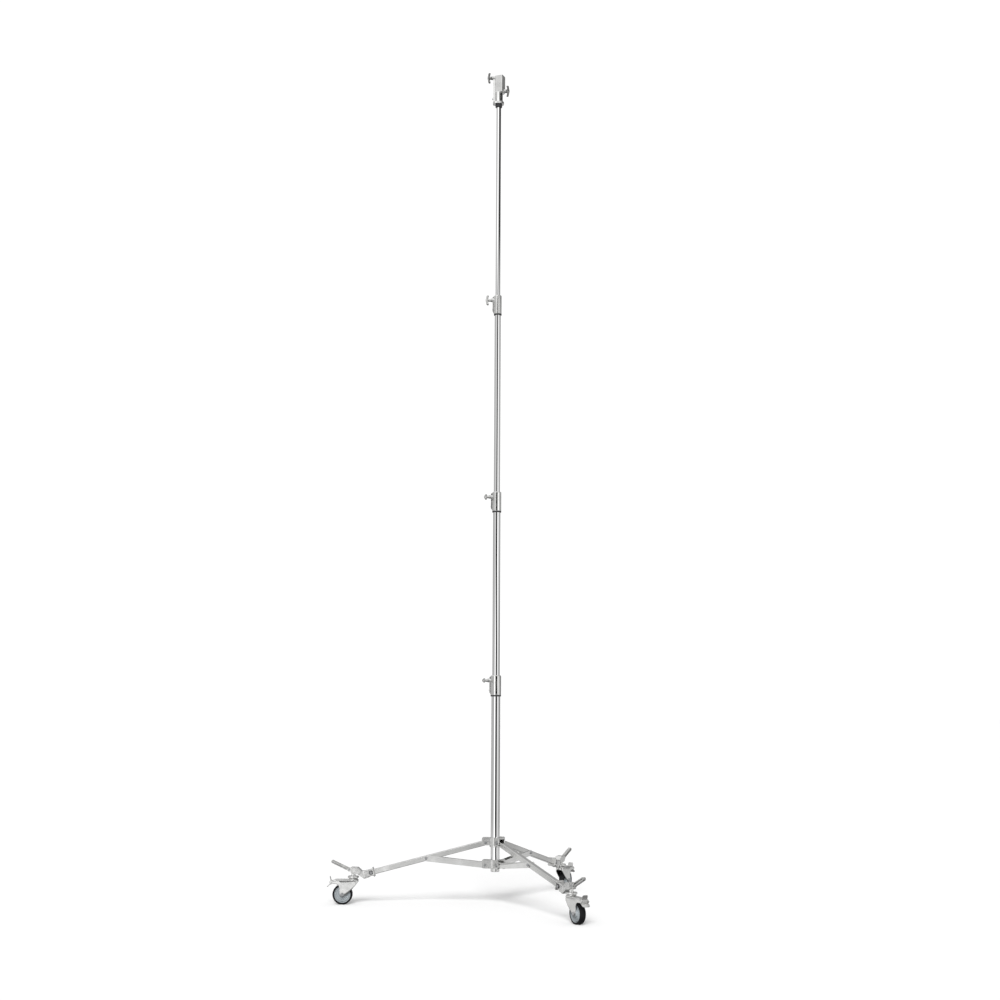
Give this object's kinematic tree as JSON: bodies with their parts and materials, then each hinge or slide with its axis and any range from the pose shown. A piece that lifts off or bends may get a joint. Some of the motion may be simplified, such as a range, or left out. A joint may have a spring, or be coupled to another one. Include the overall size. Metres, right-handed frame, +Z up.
{
  "type": "roller light stand",
  "caption": "Tall chrome roller stand: telescopic column with clamp collars, folding braced legs on braked swivel casters and a socket head with screw handles.",
  "frame": {"origin": "on the column's axis, in the floor plane that the wheels stand on", "axes": "+Z up along the column, -X along leg 1, the other legs 120 degrees to each side of it"},
  "size_m": [1.2715, 1.467, 4.3552],
  "materials": {
    "tube_chrome": "mirror chrome plate",
    "leg_chrome": "satin chrome plate",
    "cast_alloy": "tumbled die casting",
    "zinc_steel": "bright zinc plate",
    "fastener_steel": "plated fasteners",
    "handle_alloy": "cast and polished",
    "black_plastic": "moulded, fine grain",
    "wheel_grey": "moulded, satin",
    "tyre_rubber": "smooth grey-black rubber"
  },
  "bodies": {
    "column": {"column_tube": "tube_chrome", "column_foot_cap": "cast_alloy", "lower_collar": "cast_alloy", "lower_collar_pins": "fastener_steel", "collar_1": "cast_alloy", "collar_1_ring": "black_plastic"},
    "riser_1": {"riser_1_tube": "tube_chrome", "collar_2": "cast_alloy", "collar_2_ring": "black_plastic"},
    "riser_2": {"riser_2_tube": "tube_chrome", "collar_3": "cast_alloy", "collar_3_ring": "black_plastic"},
    "riser_3": {"riser_3_tube": "tube_chrome", "head_casting": "cast_alloy", "head_ring": "black_plastic"},
    "hub": {"hub": "cast_alloy", "hub_pins": "fastener_steel"},
    "hub_knob": {"hub_knob": "black_plastic"},
    "collar_1_handle": {"collar_1_handle": "handle_alloy"},
    "collar_2_handle": {"collar_2_handle": "handle_alloy"},
    "collar_3_handle": {"collar_3_handle": "handle_alloy"},
    "head_upper_handle": {"head_upper_handle": "handle_alloy"},
    "head_lower_handle": {"head_lower_handle": "handle_alloy"},
    "leg_1": {"leg_1_tube": "leg_chrome", "leg_1_foot_casting": "cast_alloy", "leg_1_foot_fasteners": "fastener_steel", "caster_1_stem": "zinc_steel"},
    "brace_1": {"leg_1_brace": "leg_chrome", "leg_1_joint_rivets": "fastener_steel"},
    "lever_1": {"leg_1_lever": "handle_alloy"},
    "fork_1": {"caster_1_fork": "zinc_steel", "caster_1_axle": "fastener_steel"},
    "wheel_1": {"caster_1_wheel_core": "wheel_grey", "caster_1_tyre": "tyre_rubber"},
    "pedal_1": {"caster_1_brake_pedal": "zinc_steel"},
    "leg_2": {"leg_2_tube": "leg_chrome", "leg_2_foot_casting": "cast_alloy", "leg_2_foot_fasteners": "fastener_steel", "caster_2_stem": "zinc_steel"},
    "brace_2": {"leg_2_brace": "leg_chrome", "leg_2_joint_rivets": "fastener_steel"},
    "lever_2": {"leg_2_lever": "handle_alloy"},
    "fork_2": {"caster_2_fork": "zinc_steel", "caster_2_axle": "fastener_steel"},
    "wheel_2": {"caster_2_wheel_core": "wheel_grey", "caster_2_tyre": "tyre_rubber"},
    "pedal_2": {"caster_2_brake_pedal": "zinc_steel"},
    "leg_3": {"leg_3_tube": "leg_chrome", "leg_3_foot_casting": "cast_alloy", "leg_3_foot_fasteners": "fastener_steel", "caster_3_stem": "zinc_steel"},
    "brace_3": {"leg_3_brace": "leg_chrome", "leg_3_joint_rivets": "fastener_steel"},
    "lever_3": {"leg_3_lever": "handle_alloy"},
    "fork_3": {"caster_3_fork": "zinc_steel", "caster_3_axle": "fastener_steel"},
    "wheel_3": {"caster_3_wheel_core": "wheel_grey", "caster_3_tyre": "tyre_rubber"},
    "pedal_3": {"caster_3_brake_pedal": "zinc_steel"}
  },
  "joints": [
    {"name": "riser_1_slide", "type": "slide", "parent": "column", "child": "riser_1", "axis": [0, 0, 1], "range_m": [-0.833, 0]},
    {"name": "riser_2_slide", "type": "slide", "parent": "riser_1", "child": "riser_2", "axis": [0, 0, 1], "range_m": [-0.932, 0]},
    {"name": "riser_3_slide", "type": "slide", "parent": "riser_2", "child": "riser_3", "axis": [0, 0, 1], "range_m": [-1.025, 0]},
    {"name": "hub_slide", "type": "slide", "parent": "column", "child": "hub", "axis": [0, 0, 1], "range_m": [0, 0.467]},
    {"name": "hub_knob_turn", "type": "hinge", "parent": "hub", "child": "hub_knob", "pos_m": [-0.024, 0.04157, 0.3095], "axis": [-0.5, 0.866, 0], "range_deg": [0, 360]},
    {"name": "collar_1_handle_turn", "type": "hinge", "parent": "column", "child": "collar_1_handle", "pos_m": [-0.05, 0, 1.118], "axis": [-1, 0, 0], "range_deg": [0, 360]},
    {"name": "collar_2_handle_turn", "type": "hinge", "parent": "riser_1", "child": "collar_2_handle", "pos_m": [-0.05, 0, 2.062], "axis": [-1, 0, 0], "range_deg": [0, 360]},
    {"name": "collar_3_handle_turn", "type": "hinge", "parent": "riser_2", "child": "collar_3_handle", "pos_m": [-0.05, 0, 3.105], "axis": [-1, 0, 0], "range_deg": [0, 360]},
    {"name": "head_upper_handle_turn", "type": "hinge", "parent": "riser_3", "child": "head_upper_handle", "pos_m": [-0.05, 0, 4.325], "axis": [-1, 0, 0], "range_deg": [0, 360]},
    {"name": "head_lower_handle_turn", "type": "hinge", "parent": "riser_3", "child": "head_lower_handle", "pos_m": [0.05, 0, 4.253], "axis": [1, 0, 0], "range_deg": [0, 360]},
    {"name": "leg_1_hinge", "type": "hinge", "parent": "hub", "child": "leg_1", "pos_m": [-0.047, 0, 0.307], "axis": [0, -1, 0], "range_deg": [0, 57.45]},
    {"name": "brace_1_hinge", "type": "hinge", "parent": "column", "child": "brace_1", "pos_m": [-0.05, 0, 0.197], "axis": [0, 1, 0], "range_deg": [0, 65.76]},
    {"name": "lever_1_hinge", "type": "hinge", "parent": "leg_1", "child": "lever_1", "pos_m": [-0.732, 0, 0.171], "axis": [0, 1, 0], "range_deg": [0, 60]},
    {"name": "caster_1_swivel", "type": "hinge", "parent": "leg_1", "child": "fork_1", "pos_m": [-0.711, 0, 0.12], "axis": [0, 0, 1], "continuous": true},
    {"name": "wheel_1_spin", "type": "hinge", "parent": "fork_1", "child": "wheel_1", "pos_m": [-0.764, 0, 0.05], "axis": [0, -1, 0], "continuous": true},
    {"name": "pedal_1_hinge", "type": "hinge", "parent": "fork_1", "child": "pedal_1", "pos_m": [-0.821, 0, 0.11], "axis": [0, -1, 0], "range_deg": [0, 15]},
    {"name": "leg_2_hinge", "type": "hinge", "parent": "hub", "child": "leg_2", "pos_m": [0.0235, -0.0407, 0.307], "axis": [0.866, 0.5, 0], "range_deg": [0, 57.45]},
    {"name": "brace_2_hinge", "type": "hinge", "parent": "column", "child": "brace_2", "pos_m": [0.025, -0.0433, 0.197], "axis": [-0.866, -0.5, 0], "range_deg": [0, 65.76]},
    {"name": "lever_2_hinge", "type": "hinge", "parent": "leg_2", "child": "lever_2", "pos_m": [0.366, -0.63393, 0.171], "axis": [-0.866, -0.5, 0], "range_deg": [0, 60]},
    {"name": "caster_2_swivel", "type": "hinge", "parent": "leg_2", "child": "fork_2", "pos_m": [0.3555, -0.61574, 0.12], "axis": [0, 0, 1], "continuous": true},
    {"name": "wheel_2_spin", "type": "hinge", "parent": "fork_2", "child": "wheel_2", "pos_m": [0.382, -0.66164, 0.05], "axis": [0.866, 0.5, 0], "continuous": true},
    {"name": "pedal_2_hinge", "type": "hinge", "parent": "fork_2", "child": "pedal_2", "pos_m": [0.4105, -0.71101, 0.11], "axis": [0.866, 0.5, 0], "range_deg": [0, 15]},
    {"name": "leg_3_hinge", "type": "hinge", "parent": "hub", "child": "leg_3", "pos_m": [0.0235, 0.0407, 0.307], "axis": [-0.866, 0.5, 0], "range_deg": [0, 57.45]},
    {"name": "brace_3_hinge", "type": "hinge", "parent": "column", "child": "brace_3", "pos_m": [0.025, 0.0433, 0.197], "axis": [0.866, -0.5, 0], "range_deg": [0, 65.76]},
    {"name": "lever_3_hinge", "type": "hinge", "parent": "leg_3", "child": "lever_3", "pos_m": [0.366, 0.63393, 0.171], "axis": [0.866, -0.5, 0], "range_deg": [0, 60]},
    {"name": "caster_3_swivel", "type": "hinge", "parent": "leg_3", "child": "fork_3", "pos_m": [0.3555, 0.61574, 0.12], "axis": [0, 0, 1], "continuous": true},
    {"name": "wheel_3_spin", "type": "hinge", "parent": "fork_3", "child": "wheel_3", "pos_m": [0.382, 0.66164, 0.05], "axis": [-0.866, 0.5, 0], "continuous": true},
    {"name": "pedal_3_hinge", "type": "hinge", "parent": "fork_3", "child": "pedal_3", "pos_m": [0.4105, 0.71101, 0.11], "axis": [-0.866, 0.5, 0], "range_deg": [0, 15]}
  ],
  "couplings": [
    {"joint": "leg_1_hinge", "follows": "hub_slide", "rad_per_m": 2.1452},
    {"joint": "brace_1_hinge", "follows": "hub_slide", "rad_per_m": 2.4559},
    {"joint": "leg_2_hinge", "follows": "hub_slide", "rad_per_m": 2.1452},
    {"joint": "brace_2_hinge", "follows": "hub_slide", "rad_per_m": 2.4559},
    {"joint": "leg_3_hinge", "follows": "hub_slide", "rad_per_m": 2.1452},
    {"joint": "brace_3_hinge", "follows": "hub_slide", "rad_per_m": 2.4559}
  ]
}
